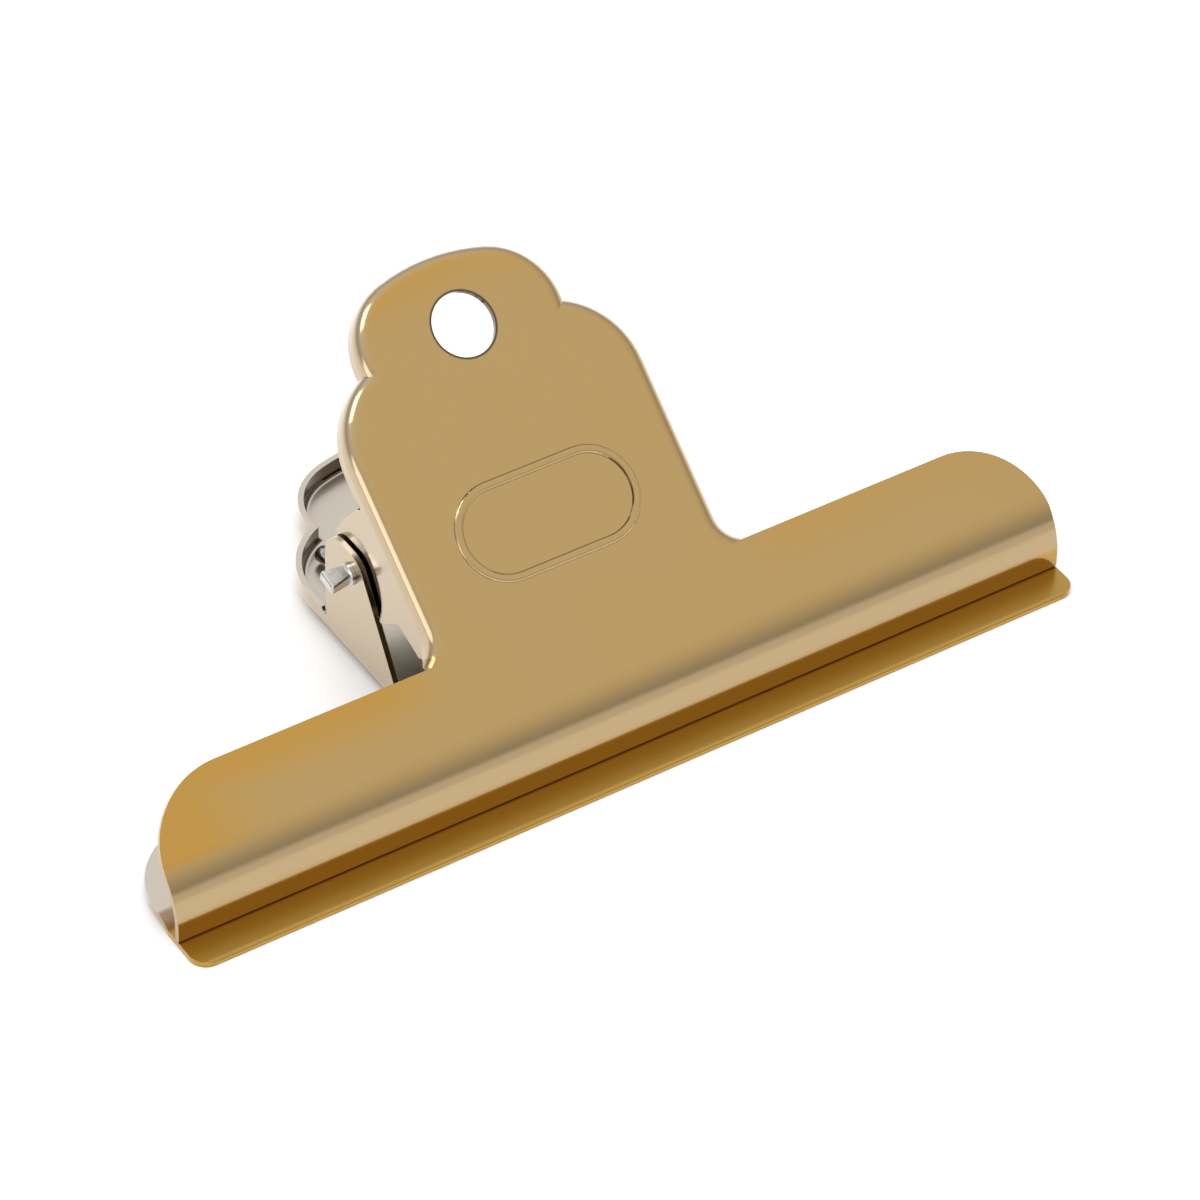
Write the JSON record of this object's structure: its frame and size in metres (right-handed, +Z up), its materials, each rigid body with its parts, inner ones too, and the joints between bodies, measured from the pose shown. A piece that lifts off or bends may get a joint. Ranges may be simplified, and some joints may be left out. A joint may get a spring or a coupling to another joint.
{
  "type": "letter clip",
  "caption": "Wide sprung letter clip of two brass-finished sheet-steel plates hinged on a pin, with cloud-shaped handles and hanging holes.",
  "frame": {"origin": "on the ground under the middle of the clip's bounding box, as it lies on its rear plate with the jaws closed", "axes": "+X along the jaws, +Y from the mouth to the handles, +Z up from the rear plate to the front plate"},
  "size_m": [0.135, 0.0712, 0.0471],
  "materials": {
    "brass_finish": "gold-tinted clear lacquer over bright plated 0.8 mm sheet steel",
    "zinc_steel": "bright zinc-plated steel",
    "spring_steel": "drawn spring-steel wire"
  },
  "bodies": {
    "rear_jaw": {"rear_plate": "brass_finish", "pivot_pin": "zinc_steel", "torsion_spring": "spring_steel"},
    "front_jaw": {"front_plate": "brass_finish"}
  },
  "joints": [
    {"name": "jaw_hinge", "type": "hinge", "parent": "rear_jaw", "child": "front_jaw", "pos_m": [0, 0.00265, 0.01586], "axis": [-1, 0, 0], "range_deg": [0, 72], "stiffness_Nm_per_rad": 0.53, "springref_deg": -68.75, "deforming": ["torsion_spring"]}
  ]
}
